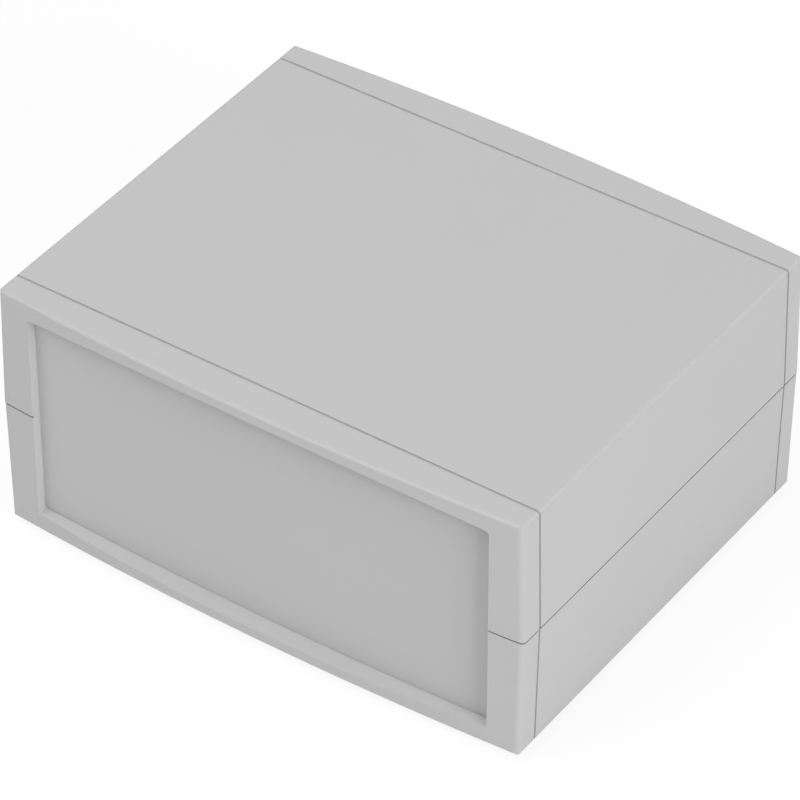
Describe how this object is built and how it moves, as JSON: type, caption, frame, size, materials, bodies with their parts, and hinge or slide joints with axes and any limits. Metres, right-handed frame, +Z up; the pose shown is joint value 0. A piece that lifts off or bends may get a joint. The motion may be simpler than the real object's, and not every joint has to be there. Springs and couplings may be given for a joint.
{
  "type": "desktop instrument enclosure",
  "caption": "Light grey plastic desktop instrument case in two half shells, with bowed frames and recessed flat panels front and rear.",
  "frame": {"origin": "middle of the footprint, on the surface the feet stand on", "axes": "+Z up, -Y towards the front panel, +X to the right across the width"},
  "size_m": [0.15, 0.1242, 0.0717],
  "materials": {
    "case_grey": "satin",
    "panel_grey": "satin",
    "screw_steel": "satin",
    "foot_rubber": "matte"
  },
  "bodies": {
    "root": {"top_shell": "case_grey", "bottom_shell": "case_grey", "front_panel": "panel_grey", "rear_panel": "panel_grey", "case_screws": "screw_steel", "foot_front_left": "foot_rubber", "foot_front_right": "foot_rubber", "foot_rear_left": "foot_rubber", "foot_rear_right": "foot_rubber"}
  },
  "joints": []
}
